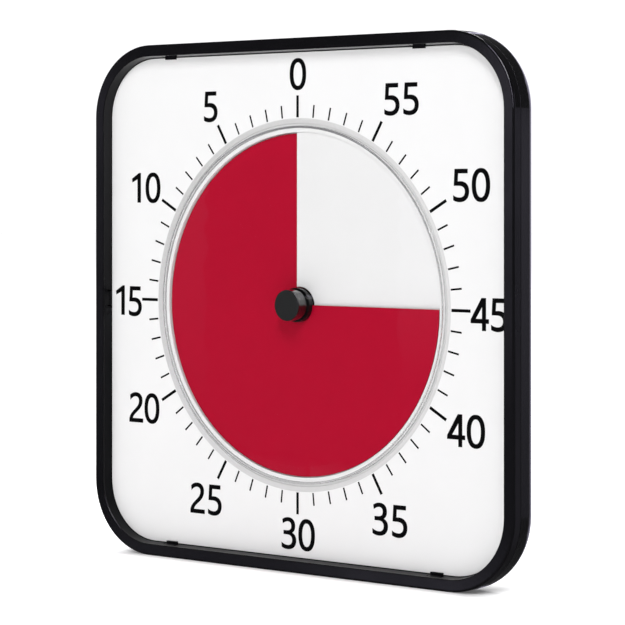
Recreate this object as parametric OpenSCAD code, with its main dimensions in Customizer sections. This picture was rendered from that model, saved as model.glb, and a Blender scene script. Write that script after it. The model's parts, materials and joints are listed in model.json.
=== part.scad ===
// Visual countdown timer: a square wall or table clock whose red disc shrinks as the time runs out.
//
// The red disc and the white plate behind it are both one turn of the same shallow screw surface.
// The disc threads through the plate's slit at 12 o'clock, so a turn of the knob feeds it from the
// back of the plate to the front, or the other way.
//
// Frame: the case stands on z = 0, its middle is at x = 0, and y = 0 is the front of the dial, with
// +y into the case. The pieces are drawn lying on their backs (x right, y up the dial, z towards
// the viewer, z = 0 on the dial) and stand() puts them upright. Millimetres throughout.

/* [Case] */
// Width and height of the square case
case_size = 304.8; // [300:0.1:330]
// Outer radius of the case's corners
corner_r = 43; // [38:0.5:50]
// Width of the frame's front face
face_w = 6.8; // [6.2:0.1:9]
// Height of the frame's front face above the dial
front_rise = 6.6; // [6:0.1:10]
// Depth of the parting line behind the frame's front face
parting_depth = 6.4; // [5.5:0.1:7]
// Depth of the straight side wall behind the frame's front face
rim_depth = 14.1; // [13:0.1:20]
// Radius of the shoulder between side wall and back
shoulder_r = 8.5; // [5:0.1:9]
// Thickness of the moulded walls
wall = 2.4; // [2:0.1:2.8]
// Radius of the front face's outer edge
edge_r = 1.2; // [0.6:0.1:1.6]
// Gap that shows between the frame and the rear housing
parting_gap = 0.3; // [0.2:0.05:0.6]

/* [Rear bay] */
// Width and height of the raised bay on the back
bay_size = 150; // [148:1:158]
// Corner radius of the bay
bay_r = 18; // [14:1:24]
// Height of the bay above the back
bay_rise = 17; // [17:0.5:21]
// Radius of the bay's outer edge
bay_edge_r = 5; // [3:0.5:6]

/* [Dial and lens] */
// Thickness of the dial plate
dial_t = 1.5; // [1.2:0.1:1.6]
// Width of the bevel round the opening
bevel_w = 2.5; // [1.5:0.1:4]
// Outer radius of the lens
lens_r = 102.5; // [102.2:0.1:103]
// Gap between the lens and the dial's round opening
opening_gap = 1.5; // [1.2:0.1:2]
// Thickness of the lens
lens_t = 1.3; // [1:0.1:1.4]
// Height of the lens above the dial at its rim
lens_rim_rise = 1.1; // [1:0.1:1.5]
// Height of the lens above the dial at its middle
lens_mid_rise = 2.8; // [2.6:0.1:3.4]

/* [Disc] */
// Minutes that the red disc shows
minutes_set = 45; // [5:5:55]
// Radius of the red disc
disc_r = 98.2; // [96:0.1:98.2]
// Thickness of the red disc
disc_t = 0.5; // [0.4:0.1:0.6]
// Thickness of the slit plate
plate_t = 0.8; // [0.6:0.1:1]
// Depth that disc and plate gain in one turn
pitch = 3.2; // [3:0.1:3.4]
// Depth of the slit plate's front lip below the dial
plate_depth = 2.2; // [2.1:0.1:2.4]
// Overlap of the plate's front lip past 12 o'clock
lip_overlap = 1.7; // [0.5:0.1:3]

/* [Knob and spindle] */
// Radius of the knob
knob_r = 8.9; // [7:0.1:12]
// Height of the knob's face above the dial
knob_rise = 10.2; // [9:0.1:14]
// Radius of the black hub behind the lens
hub_r = 9.85; // [8:0.05:12]
// Radius of the spindle
spindle_r = 3; // [2.5:0.1:3.2]

/* [Movement] */
// Width of the movement's square case
movement_w = 56; // [55:1:58]
// Thickness of the movement's case without its cover
movement_t = 12; // [11:0.5:12.5]
// Thickness of the movement's cover
cover_t = 3; // [2:0.5:3]
// Width of the hexagon nut across its flats
nut_af = 13; // [12:0.5:16]
// Tooth module where the centre wheel drives the third pinion
centre_module = 0.45; // [0.44:0.01:0.46]
// Tooth module where the third wheel drives the fourth pinion
third_module = 0.35; // [0.34:0.01:0.36]
// Tooth module where the fourth wheel drives the fifth pinion
fourth_module = 0.25; // [0.24:0.01:0.26]
// Tooth module where the fifth wheel meets the rotor's pinion
fifth_module = 0.2; // [0.19:0.01:0.21]
// Radius of the rotor's magnet
magnet_r = 3.2; // [2.8:0.1:3.4]
// Outer radius of the coil's winding
coil_r = 3.7; // [3:0.1:3.8]

/* [Battery] */
// Diameter of the cell
cell_d = 14.2; // [13.5:0.1:14.5]
// Length of the cell with its nub
cell_len = 50.5; // [49:0.1:51]
// Length of the contact spring
spring_len = 5.3; // [4:0.1:7]

/* [Feet] */
// Distance of each foot's pin from the middle
foot_x = 85; // [70:1:110]
// Reach of a foot from its pin
foot_len = 42; // [30:1:60]
// Height of a foot at its pin
foot_h = 16; // [14:0.5:20]
// Thickness of a foot
foot_t = 4; // [3:0.5:5]
// Radius of the foot's pin
foot_pin_r = 1.5; // [1.2:0.1:1.8]
// Angle of the feet: 0 stands out, 90 is folded
foot_angle = 0; // [0:5:90]

/* [Hidden] */

$fn = 64;
eps = 0.01;
// Clearances: flat faces that slide, round fits that turn, and screws in their holes
slide_gap = 0.15;
turn_gap = 0.05;
screw_gap = 0.1;

black = [0.03, 0.03, 0.035];
satin = [0.06, 0.06, 0.065];
dark = [0.12, 0.12, 0.13];
white = [0.95, 0.95, 0.95];
natural = [0.9, 0.88, 0.8];
steel = [0.75, 0.76, 0.78];

// Heights above the dial, negative behind it
z_front = front_rise;
z_part = z_front - parting_depth;
z_rim = z_front - rim_depth;
z_back = z_rim - shoulder_r;
z_panel = z_back + wall;
z_bay = z_back - bay_rise;
z_bay_in = z_bay + wall;

// Case outline: straight sides between corner centres at (side, side)
side = case_size / 2 - corner_r;
face_in = corner_r - face_w;
lip_w = 2;
lip_draft = 0.8;
dial_in = face_in - lip_draft - 0.4;
ledge_w = 4;
ledge_t = 1.6;
z_ledge = -dial_t - turn_gap;
tongue_w = face_w - lip_w - wall - 2 * slide_gap;
tongue_h = 3;
shoulder_u = corner_r - shoulder_r;
bay_side = bay_size / 2 - bay_r;
bay_flange_w = 5;
bay_flange_t = 2;
z_flange = z_panel + turn_gap;
opening_r = lens_r + opening_gap;

// Snap tabs that hold the dial: distances from the middle of their side
tab_w = 8;
tab_reach = 1.4;
tab_t = 1.4;
tabs_top = side * [-0.878, 0.786];
tabs_bottom = side * [-0.868, 0.896];
side_tab_w = 8.4;
side_tab_reach = 0.4;
finger_slot = 0.9;
finger_h = 4;

// Disc chamber
rim_top = z_ledge;
groove_depth = 1;
groove_gap = 0.15;
lens_foot = rim_top - groove_depth + turn_gap;
pan_in = disc_r + 0.6;
pan_wall = 1.4;
pan_flange_r = opening_r + 4;
flange_t = 1.65;
pan_t = 1.6;
blade_gap = (pitch - plate_t - disc_t) / 2;
disc_lead = blade_gap + disc_t;
disc_deepest = plate_depth + 2 * pitch - disc_lead + disc_t;
z_pan = -disc_deepest - 1.15;
cup_r = 16;
cup_depth = 3.4;
z_cup = z_pan - cup_depth;
z_movement = z_cup - pan_t;
lug_at = 90;
lug_r = 7;
set_angle = 360 - minutes_set * 6;
blade_turn = 359.5;
disc_bore = hub_r + 0.15;
plate_bore = hub_r + 0.55;
blade_step = 2.5;

// Hub, knob and spindle
hub_top = lens_mid_rise - lens_t - 0.3;
hub_bottom = z_pan + 0.4;
knob_foot = lens_mid_rise + 0.3;
knob_edge = 0.5;
knob_top_t = 1.8;
flat_depth = 0.6;
lens_bore = spindle_r + 0.6;
bush_r = spindle_r + 1.5;
nut_t = 2.2;
movement_wall = 1.6;
movement_r = 6;
cover_screw_at = movement_w / 2 - 6;
cover_post_r = 2.6;
z_inside = z_movement - movement_wall;
z_cover_in = z_movement - movement_t;
z_cover = z_cover_in - cover_t;
z_spindle_end = z_cover_in + 0.15;
spindle_pivot_r = spindle_r / 2;

// Gear train. Mesh k joins wheel k to pinion k on the next arbor: centre wheel and third pinion,
// third and fourth, fourth and fifth, fifth and rotor. The rotor turns 1800 times for the
// centre wheel's once.
wheel_teeth = [64, 60, 60, 60];
pinion_teeth = [8, 8, 10, 12];
mesh_module = [centre_module, third_module, fourth_module, fifth_module];
mesh_angle = [127, 15, -20, -30];
function mesh_reach(k) = mesh_module[k] * (wheel_teeth[k] + pinion_teeth[k]) / 2;
function arbor_at(k) = k == 0 ? [0, 0]
    : arbor_at(k - 1) + mesh_reach(k - 1) * [cos(mesh_angle[k - 1]), sin(mesh_angle[k - 1])];

// Heights of the train's parts, taken back from the inside of the movement's front wall
wheel_z = [for (d = [0.8, 4, 6.2, 8]) z_inside - d];
wheel_t = [1.2, 1, 0.8, 0.6];
pinion_rise = 0.4;
arbor_r = 0.8;
pivot_r = 0.5;
pivot_len = 0.8;
clutch_z = z_inside - 3;
clutch_t = 0.3;
clutch_hub_r = 4.4;
clutch_foot = 6.4;
clip_z = clutch_z - clutch_t - 0.1;
clip_t = 0.6;
clip_groove = 0.6;

// Motor: rotor in the ring of a U-shaped stator, whose long leg is the coil's core
rotor_at = arbor_at(4);
magnet_z = z_inside - 3.4;
magnet_t = 3;
rotor_hub_r = 1.2;
stator_z = z_inside - 4.2;
stator_t = 1.2;
stator_hole = magnet_r + 0.5;
stator_ring = stator_hole + 2.3;
leg_w = 3;
leg_offset = 4.6;
stator_len = 23.5;
stator_foot_y = rotor_at[1] - stator_len;
core_in = 5.6;
core_x = movement_w / 2 - movement_wall - core_in;
legs_x = [rotor_at[0] - leg_offset, core_x];
coil_y = [stator_foot_y + leg_w / 2 + 0.7, rotor_at[1] - stator_ring - 1.5];
bobbin_r = 2.2;
bobbin_flange = 0.8;
peg_r = 0.9;
peg_post_r = 2;
stator_pegs = [for (x = legs_x) [x, stator_foot_y]];

// Screws: head radius, head height, shank radius
screw_head = 2.9;
screw_head_t = 1.6;
screw_shank = 1.45;
small_head = 1.9;
small_head_t = 1.1;
small_shank = 1;
case_screw_out = 20.4;
case_screw_at = side + case_screw_out;
side_screw_in = 14.9;
side_screw_at = case_size / 2 - side_screw_in;
boss_r = 5;
z_boss = z_panel + 5.6;
head_seat = z_panel + 2.1;
case_screws = [
    for (x = [-1, 1], y = [-1, 1]) [x * case_screw_at, y * case_screw_at],
    [-side_screw_at, 0], [side_screw_at, 0]
];
pan_screws_at = [for (x = [-1, 1], y = [-1, 1]) [x * lug_at, y * lug_at]];
bay_ear_out = 7;
bay_ear_in = 9;
bay_screw_x = bay_size / 2 + bay_ear_out;
bay_screw_y = bay_size / 2 - bay_ear_in;
bay_screws_at = [for (x = [-1, 1], y = [-1, 1]) [x * bay_screw_x, y * bay_screw_y]];
bay_ear_r = 3.5;
z_ear = z_pan - pan_t - 0.3;
small_seat = small_head_t + 0.1;
case_screw_len = z_ledge - 2 - head_seat;
pan_screw_len = 5.5;
board_screw_len = 5;
cover_screw_len = 7;

// Battery bay
cell_in = 26.6;
cell_y = cell_in - bay_size / 2;
cell_clear = 0.5;
trough_wall = 1.6;
plate_w = 12;
contact_t = 0.4;
trough_len = cell_len + spring_len + 2 * contact_t + 2 * turn_gap;
trough_w = cell_d + 2 * cell_clear;
z_cell = z_bay_in + cell_d / 2 + cell_clear;
z_trough = z_cell + cell_d / 2 + cell_clear;
cell_x = trough_len / 2 - contact_t - turn_gap;
nub_len = 1;
nub_r = 2.7;

// Battery door
door_w = trough_len + 9;
door_top = cell_y + trough_w / 2 + 3.3;
door_bottom = -bay_size / 2 + bay_edge_r - 1;
door_floor_t = 2;
tongue_reach = 1.3;
tongue_t = 1;
tongue_in = 5;
z_door = z_bay_in - 0.1;

// Sound switch and its board, which lies beside the movement's upper edge
board_w = 50;
board_h = 26;
board_in = 11;
board_gap = 4;
board_x = [bay_size / 2 - board_in - board_w, bay_size / 2 - board_in];
board_y = [movement_w / 2 + board_gap, movement_w / 2 + board_gap + board_h];
board_t = 1.6;
z_board = z_bay_in + 5.6;
board_post_in = 6;
board_post_r = 3;
board_posts = [
    [board_x[0] + board_post_in, board_y[1] - board_post_in],
    [board_x[1] - board_post_in, board_y[0] + board_post_in]
];
chips_at = [[10, 4], [20, 14], [34, 19]];
switch_at = [(board_x[0] + board_x[1]) / 2 - 1, (board_y[0] + board_y[1]) / 2];
switch_travel = 5;
stem_w = 5;
stem_h = 3.6;
switch_slot_end = 2.6;
switch_dish_len = 20;
switch_dish_w = 9;

// Sounder
sounder_r = 15;
sounder_in = 22;
sounder_at = [sounder_in + sounder_r - bay_size / 2, movement_w / 2 + sounder_r + 1];
sounder_t = 5.5;
grille_r = 12;
grille_slot = 1.6;
grille_step = 3.6;

// Steel hanger with a keyhole for a wall screw, flush in the bay's back
keyhole_in = 27;
keyhole_y = bay_size / 2 - keyhole_in;
keyhole_r = 4.5;
keyhole_slot = 2.3;
keyhole_len = 9;
hanger_t = 1.2;
hanger_w = 22;
hanger_len = 34;
hanger_seat_end = 7;
hanger_seat_side = 4.5;
hanger_window = [hanger_len - 2 * hanger_seat_end, hanger_w - 2 * hanger_seat_side];
hanger_y = keyhole_y + keyhole_len / 2;
hanger_screws_at = [for (s = [-1, 1]) [0, hanger_y + s * (hanger_len / 2 - 3)]];
hanger_boss_h = 3;
hanger_screw_len = wall + hanger_boss_h - hanger_t / 2 - 1.2;

// Feet
foot_barrel_r = 4;
foot_lug_h = 6.4;
foot_pin_y = -z_back + foot_barrel_r + 0.8;
foot_lug_z = (foot_h - foot_lug_h) / 2 + 0.5;
foot_tip_h = 9;

// ---- placing -------------------------------------------------------------------------------

module stand() translate([0, 0, case_size / 2]) rotate([90, 0, 0]) children();

module place_feet() for (s = [-1, 1]) translate([s * foot_x, foot_pin_y, 0]) children();

// ---- shared shapes -------------------------------------------------------------------------

// A profile (x outward from the corner centres, y forward) carried round a rounded square
module loop(reach) {
    for (k = [0 : 3]) rotate(90 * k) {
        translate([reach, 0, 0]) rotate([90, 0, 0])
            linear_extrude(2 * reach, center = true) children();
        translate([reach, reach, 0]) rotate_extrude(angle = 90) children();
    }
}

module rounded_square(half, r) {
    square([2 * half, 2 * (half - r)], center = true);
    square([2 * (half - r), 2 * half], center = true);
    for (x = [-1, 1], y = [-1, 1]) translate([x * (half - r), y * (half - r)]) circle(r);
}

module slab(half, r, z0, z1) translate([0, 0, z0]) linear_extrude(z1 - z0) rounded_square(half, r);

module disc(r, z0, z1) translate([0, 0, z0]) cylinder(r = r, h = z1 - z0);

module ring(r0, r1, z0, z1) difference() {
    disc(r1, z0, z1);
    disc(r0, z0 - 1, z1 + 1);
}

module box(x0, x1, y0, y1, z0, z1) translate([x0, y0, z0]) cube([x1 - x0, y1 - y0, z1 - z0]);

// What a corner of radius r leaves outside its arc
module corner_waste(r) difference() {
    square(r + 1);
    circle(r);
}

// Quarter of a tube's section, outward and backward
module shoulder(r, t) intersection() {
    difference() {
        circle(r);
        circle(r - t);
    }
    translate([0, -r]) square(r);
}

module stadium(len, w) {
    square([len - w, w], center = true);
    for (s = [-1, 1]) translate([s * (len - w) / 2, 0]) circle(w / 2);
}

// One turn of a screw surface, clockwise angles from 12 o'clock, as a closed sheet.
// skew moves the first edge sideways so that it runs parallel to the radius instead of along it.
module blade(r_in, r_out, t, depth, a0, a1, skew = 0) {
    n = ceil((a1 - a0) / blade_step);
    first = [-asin(skew / r_in), -asin(skew / r_out)];
    function turn(i, edge) = i == 0 ? a0 + first[edge] : a0 + (a1 - a0) * i / n;
    function at(i, edge, back) = let(
        a = turn(i, edge), r = [r_in, r_out][edge]
    ) [r * sin(a), r * cos(a), -depth - pitch * a / 360 - back * t];
    points = [for (i = [0 : n]) each [at(i, 0, 0), at(i, 1, 0), at(i, 1, 1), at(i, 0, 1)]];
    sides = [
        for (i = [0 : n - 1], k = [0 : 3]) let(
            p = 4 * i + k, q = 4 * i + (k + 1) % 4
        ) each [[p, q, q + 4], [p, q + 4, p + 4]]
    ];
    ends = [[0, 2, 1], [0, 3, 2], [4 * n, 4 * n + 1, 4 * n + 2], [4 * n, 4 * n + 2, 4 * n + 3]];
    polyhedron(points, concat(sides, ends));
}

// Pan-head screw: head above the origin, shank below, cross recess in the head
module screw(head, head_t, shank, len) difference() {
    union() {
        rotate_extrude() {
            square([head, head_t * 0.55]);
            translate([0, head_t * 0.55]) square([head - head_t * 0.45, head_t * 0.45]);
            translate([head - head_t * 0.45, head_t * 0.55]) circle(head_t * 0.45, $fn = 32);
        }
        translate([0, 0, -len]) cylinder(r = shank, h = len + eps);
    }
    for (a = [0, 90]) rotate(a) translate([-head * 0.55, -head * 0.11, head_t * 0.45])
        cube([head * 1.1, head * 0.22, head_t]);
}

// ---- front ---------------------------------------------------------------------------------

module frame_profile() difference() {
    union() {
        translate([face_in, z_front - wall]) square([face_w, wall]);
        translate([corner_r - wall, z_part]) square([wall, z_front - z_part]);
        polygon([
            [face_in, z_front], [face_in + lip_w, z_front], [face_in + lip_w, z_ledge - ledge_t],
            [face_in - lip_draft, z_ledge - ledge_t], [face_in - lip_draft, 0]
        ]);
        translate([face_in - ledge_w, z_ledge - ledge_t]) square([ledge_w + lip_w, ledge_t]);
    }
    translate([corner_r - edge_r, z_front - edge_r]) corner_waste(edge_r);
    translate([face_in + 0.4, z_front - 0.4]) mirror([1, 0]) corner_waste(0.4);
}

module snap_tab(w, reach) translate([side + face_in - lip_draft - reach, -w / 2, turn_gap])
    cube([reach + lip_draft, w, tab_t]);

// Slots at both ends of a tab, which leave it on a springy finger of the inner wall
module finger_slots(w) for (s = [-1, 1])
    translate([side + face_in - 2, s * (w + finger_slot) / 2 - finger_slot / 2, turn_gap])
    cube([lip_w + 3, finger_slot, finger_h]);

module at_tabs() {
    for (x = tabs_top) rotate(90) translate([0, -x, 0]) children(0);
    for (x = tabs_bottom) rotate(-90) translate([0, x, 0]) children(0);
    for (a = [0, 180]) rotate(a) children(1);
}

module front_frame() color(black) stand() difference() {
    union() {
        loop(side) frame_profile();
        at_tabs() {
            snap_tab(tab_w, tab_reach);
            snap_tab(side_tab_w, side_tab_reach);
        }
        for (p = case_screws) translate(p) disc(boss_r, z_boss + turn_gap, z_ledge);
    }
    at_tabs() {
        finger_slots(tab_w);
        finger_slots(side_tab_w);
    }
    for (p = case_screws) translate(p) disc(screw_shank + turn_gap, z_boss - 1, z_ledge - 1.2);
}

module dial_plate() color(white) stand() difference() {
    slab(side + dial_in, dial_in, -dial_t, 0);
    disc(opening_r, -dial_t - 1, 1);
    translate([0, 0, -1]) cylinder(r1 = opening_r, r2 = opening_r + 2 * bevel_w, h = 2);
}

// The lens is a shallow dish: a domed window, a rim wall and the foot in the pan's groove
module lens() {
    steps = 10;
    in_r = lens_r - lens_t;
    function rise(r) = lens_rim_rise + (lens_mid_rise - lens_rim_rise) * (1 - pow(r / lens_r, 2));
    outside = [for (i = [0 : steps]) let(r = lens_bore + (lens_r - 0.4 - lens_bore) * i / steps)
        [r, rise(r)]];
    inside = [for (i = [0 : steps]) let(r = in_r + (lens_bore - in_r) * i / steps)
        [r, rise(r) - lens_t]];
    rim = [[lens_r, lens_rim_rise - 0.4], [lens_r, lens_foot], [in_r, lens_foot]];
    color([0.9, 0.95, 1, 0.25]) stand() rotate_extrude($fn = 128)
        polygon(concat(outside, rim, inside));
}

// ---- disc and its drive --------------------------------------------------------------------

module pan_profile() difference() {
    union() {
        translate([pan_in, rim_top - flange_t]) square([pan_flange_r - pan_in, flange_t]);
        translate([pan_in, z_pan - pan_t]) square([pan_wall, rim_top - z_pan + pan_t]);
        translate([cup_r, z_pan - pan_t]) square([pan_in - cup_r + eps, pan_t]);
        translate([cup_r, z_cup - pan_t]) square([pan_t, cup_depth + pan_t]);
        translate([bush_r + screw_gap, z_cup - pan_t]) square([cup_r - bush_r, pan_t]);
    }
    translate([lens_r - lens_t - groove_gap, rim_top - groove_depth])
        square([lens_t + 2 * groove_gap, groove_depth + 1]);
}

module disc_pan() color(white) stand() difference() {
    union() {
        rotate_extrude($fn = 128) pan_profile();
        for (p = pan_screws_at) rotate(atan2(p[1], p[0])) {
            box(pan_in, norm(p), -lug_r, lug_r, z_pan - pan_t, z_pan);
            translate([norm(p), 0, 0]) disc(lug_r, z_pan - pan_t, z_pan);
        }
    }
    for (p = pan_screws_at) translate(p) disc(screw_shank + screw_gap, z_pan - pan_t - 1, z_pan + 1);
}

module slit_plate() color(white) stand()
    blade(plate_bore, pan_in - 0.05, plate_t, plate_depth, 0, blade_turn, lip_overlap);

module red_disc() color([0.69, 0.09, 0.18]) stand()
    blade(disc_bore, disc_r, disc_t, plate_depth - disc_lead, set_angle, set_angle + blade_turn);

module d_section(r, flat) difference() {
    circle(r);
    translate([-r - 1, r - flat]) square([2 * r + 2, flat + 1]);
}

module disc_hub() color(black) stand() difference() {
    disc(hub_r, hub_bottom, hub_top);
    disc(spindle_r + turn_gap, hub_bottom - 1, hub_top + 1);
}

module knob() color(black) stand() difference() {
    rotate_extrude($fn = 96) {
        translate([0, knob_foot]) square([knob_r, knob_rise - knob_edge - knob_foot]);
        translate([0, knob_rise - knob_edge - eps]) square([knob_r - knob_edge, knob_edge + eps]);
        translate([knob_r - knob_edge, knob_rise - knob_edge]) circle(knob_edge, $fn = 32);
    }
    translate([0, 0, knob_foot - 1]) linear_extrude(knob_rise - knob_top_t - knob_foot + 1)
        d_section(spindle_r + turn_gap, flat_depth);
}

module spindle() color(steel) stand() difference() {
    union() {
        disc(spindle_pivot_r, z_cover_in - 1, z_spindle_end + eps);
        disc(spindle_r, z_spindle_end, knob_foot - 0.5);
        translate([0, 0, knob_foot - 0.5 - eps])
            linear_extrude(knob_rise - knob_top_t - 0.2 - knob_foot + 0.5)
            d_section(spindle_r, flat_depth);
    }
    ring(spindle_r - clip_groove, spindle_r + 1, clip_z - clip_t - turn_gap, clip_z + turn_gap);
}

module bush_nut() color([0.8, 0.68, 0.35]) stand() difference() {
    translate([0, 0, z_cup]) rotate(30)
        cylinder(r = nut_af / sqrt(3), h = nut_t, $fn = 6);
    disc(bush_r + turn_gap, z_cup - 1, z_cup + nut_t + 1);
}

// ---- movement --------------------------------------------------------------------------------

module cover_posts(r, z0, z1) for (x = [-1, 1], y = [-1, 1])
    translate([x * cover_screw_at, y * cover_screw_at]) disc(r, z0, z1);

module pivot_holes(z0, z1) for (k = [1 : 4])
    translate(arbor_at(k)) disc(pivot_r + turn_gap, z0, z1);

module movement_case() color(dark) stand() difference() {
    union() {
        slab(movement_w / 2, movement_r, z_movement - movement_t, z_movement);
        disc(bush_r, z_movement - eps, z_cup + nut_t + 0.5);
    }
    difference() {
        slab(movement_w / 2 - movement_wall, movement_r - movement_wall, z_cover_in - 1, z_inside);
        cover_posts(cover_post_r, z_cover_in, z_movement);
        for (p = stator_pegs) translate(p) {
            disc(peg_post_r, stator_z, z_movement);
            disc(peg_r, stator_z - stator_t - 0.5, z_movement);
        }
    }
    disc(spindle_r + turn_gap, z_inside - 1, 0);
    pivot_holes(z_inside - 1, z_inside + pivot_len + 0.1);
    cover_posts(small_shank + turn_gap, z_cover_in - 1, z_inside);
}

module movement_cover() color(dark) stand() difference() {
    slab(movement_w / 2, movement_r, z_cover, z_cover + cover_t);
    cover_posts(small_shank + screw_gap, z_cover - 1, z_movement);
    cover_posts(small_head + 0.3, z_cover - 1, z_cover + small_head_t);
    disc(spindle_pivot_r + turn_gap, z_cover_in - 1.2, z_cover_in + 1);
    pivot_holes(z_cover_in - pivot_len - 0.1, z_cover_in + 1);
}

// Clock teeth: radial flanks below the pitch circle and narrowing tips above it.
// half is half a tooth's angle; tip and root are its height and depth in modules.
module toothed(teeth, m, half, tip, root) {
    r = teeth * m / 2;
    flank = [[r - root * m, half], [r, half], [r + tip * m / 2, 0.7 * half], [r + tip * m, 0.2 * half]];
    tooth = concat([for (p = flank) [p[0], -p[1]]], [for (i = [3 : -1 : 0]) flank[i]]);
    polygon([
        for (k = [0 : teeth - 1], p = tooth) let(a = p[1] + 360 * k / teeth) p[0] * [cos(a), sin(a)]
    ]);
}

// Wheel of mesh k with round windows, a tooth turned towards its pinion
module wheel(k, windows, window_at, window_r) {
    m = mesh_module[k];
    z0 = wheel_z[k] - wheel_t[k];
    rotate(mesh_angle[k]) difference() {
        translate([0, 0, z0]) linear_extrude(wheel_t[k])
            toothed(wheel_teeth[k], m, 85 / wheel_teeth[k], 1.1, 1.1);
        for (i = [1 : windows]) rotate(360 * (i + 0.5) / windows) translate([window_at, 0])
            disc(window_r, z0 - 1, z0 + wheel_t[k] + 1);
    }
}

// Pinion of mesh k, a gap turned towards its wheel
module pinion(k) translate([0, 0, wheel_z[k] - wheel_t[k] - pinion_rise])
    rotate(mesh_angle[k] + 180 + 180 / pinion_teeth[k]) linear_extrude(wheel_t[k] + 2 * pinion_rise)
    toothed(pinion_teeth[k], mesh_module[k], 60 / pinion_teeth[k], 0.6, 1.5);

module arbor() {
    disc(arbor_r, z_cover_in + 0.15, z_inside - 0.15);
    disc(pivot_r, z_cover_in - pivot_len, z_inside + pivot_len);
}

module train_wheel(k, window_r) color(natural) stand() translate(arbor_at(k)) {
    wheel(k, 5, 0.56 * mesh_module[k] * wheel_teeth[k] / 2, window_r);
    pinion(k - 1);
    arbor();
}

module third_wheel() train_wheel(1, 2.2);

module fourth_wheel() train_wheel(2, 1.5);

module fifth_wheel() train_wheel(3, 1.1);

// The centre wheel turns on the spindle, and the clutch spring drags the spindle along
module centre_wheel() color(natural) stand() difference() {
    union() {
        wheel(0, 8, 10.4, 2);
        disc(clutch_hub_r, clutch_z + 0.1, z_inside - 0.3);
    }
    disc(spindle_r + turn_gap, clutch_z - 1, z_inside + 1);
}

module clutch_spring() color(steel) stand() {
    ring(spindle_r + turn_gap, clutch_hub_r, clutch_z - clutch_t, clutch_z);
    for (a = [0, 120, 240]) rotate(a) {
        box(clutch_hub_r - 0.4, clutch_foot, -0.8, 0.8, clutch_z - clutch_t, clutch_z);
        translate([clutch_foot, 0])
            disc(1, clutch_z - clutch_t, wheel_z[0] - wheel_t[0] - turn_gap);
    }
}

module spindle_clip() color(steel) stand() difference() {
    disc(clutch_hub_r, clip_z - clip_t, clip_z);
    disc(spindle_r - clip_groove + turn_gap, clip_z - 1, clip_z + 1);
    box(0, clutch_hub_r + 1, -1.8, 1.8, clip_z - 1, clip_z + 1);
}

module rotor_pinion() color(natural) stand() translate(rotor_at) {
    pinion(3);
    disc(rotor_hub_r, magnet_z - magnet_t - 0.2, magnet_z + 0.2);
    arbor();
}

module rotor_magnet() color(dark) stand() translate(rotor_at)
    ring(rotor_hub_r + turn_gap, magnet_r, magnet_z - magnet_t, magnet_z);

module stator_section() difference() {
    union() {
        translate(rotor_at) circle(stator_ring);
        for (x = legs_x) translate([x - leg_w / 2, stator_foot_y])
            square([leg_w, stator_len - stator_hole + 0.2]);
        translate([legs_x[0] - leg_w / 2, stator_foot_y - leg_w / 2])
            square([legs_x[1] - legs_x[0] + leg_w, leg_w]);
    }
    translate(rotor_at) circle(stator_hole);
    for (p = stator_pegs) translate(p) circle(peg_r + turn_gap);
}

module stator() color(steel) stand() translate([0, 0, stator_z - stator_t])
    linear_extrude(stator_t) stator_section();

// A round length of the coil round the stator's leg, between y0 and y1
module round_core(r, y0, y1) translate([core_x, y0, stator_z - stator_t / 2]) rotate([-90, 0, 0])
    cylinder(r = r, h = y1 - y0);

module coil_bobbin() color(white) stand() difference() {
    union() {
        round_core(bobbin_r, coil_y[0], coil_y[1]);
        round_core(coil_r + 0.2, coil_y[0], coil_y[0] + bobbin_flange);
        round_core(coil_r + 0.2, coil_y[1] - bobbin_flange, coil_y[1]);
    }
    translate([core_x, 0, stator_z - stator_t / 2]) cube(
        [leg_w + 2 * turn_gap, 2 * stator_len, stator_t + 2 * turn_gap], center = true);
}

module coil_winding() color([0.72, 0.4, 0.2]) stand() difference() {
    round_core(coil_r, coil_y[0] + bobbin_flange, coil_y[1] - bobbin_flange);
    round_core(bobbin_r, coil_y[0], coil_y[1]);
}

// ---- rear housing --------------------------------------------------------------------------

module housing_profile() {
    tongue_u = face_in + lip_w + slide_gap;
    translate([corner_r - wall, z_rim]) square([wall, z_part - parting_gap - z_rim]);
    translate([tongue_u, z_part - tongue_h])
        square([corner_r - tongue_u, tongue_h - parting_gap]);
    translate([tongue_u, z_part - tongue_h]) square([tongue_w, 2 * tongue_h]);
    translate([shoulder_u, z_rim]) shoulder(shoulder_r, wall);
}

module bay_profile() {
    translate([bay_r - wall, z_bay + bay_edge_r])
        square([wall, z_flange + bay_flange_t - z_bay - bay_edge_r]);
    translate([bay_r - wall, z_flange]) square([wall + bay_flange_w, bay_flange_t]);
    translate([bay_r - bay_edge_r, z_bay + bay_edge_r]) shoulder(bay_edge_r, wall);
}

module keyhole() {
    circle(keyhole_r);
    translate([-keyhole_slot, 0]) square([2 * keyhole_slot, keyhole_len]);
    translate([0, keyhole_len]) circle(keyhole_slot);
}

module hanger_plate() color(steel) stand() difference() {
    translate([0, hanger_y, z_bay]) rotate(90)
        linear_extrude(hanger_t) stadium(hanger_len, hanger_w);
    translate([0, keyhole_y, z_bay - 1]) linear_extrude(hanger_t + 2) keyhole();
    for (p = hanger_screws_at) translate(p) {
        disc(small_shank + screw_gap, z_bay - 1, z_bay + hanger_t + 1);
        disc(small_head + 0.3, z_bay - 1, z_bay + hanger_t / 2);
    }
}

module grille() for (i = [-3 : 3]) let(y = i * grille_step)
    translate([0, y]) stadium(2 * sqrt(grille_r * grille_r - y * y), grille_slot);

module foot_lugs() place_feet() difference() {
    union() {
        translate([0, 0, foot_lug_z]) cylinder(r = foot_barrel_r, h = foot_lug_h);
        box(-foot_barrel_r, foot_barrel_r, -z_back - foot_pin_y - 1.4, 0,
            foot_lug_z, foot_lug_z + foot_lug_h);
    }
    translate([0, 0, -1]) cylinder(r = foot_pin_r + turn_gap, h = foot_h + 4);
}

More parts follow.
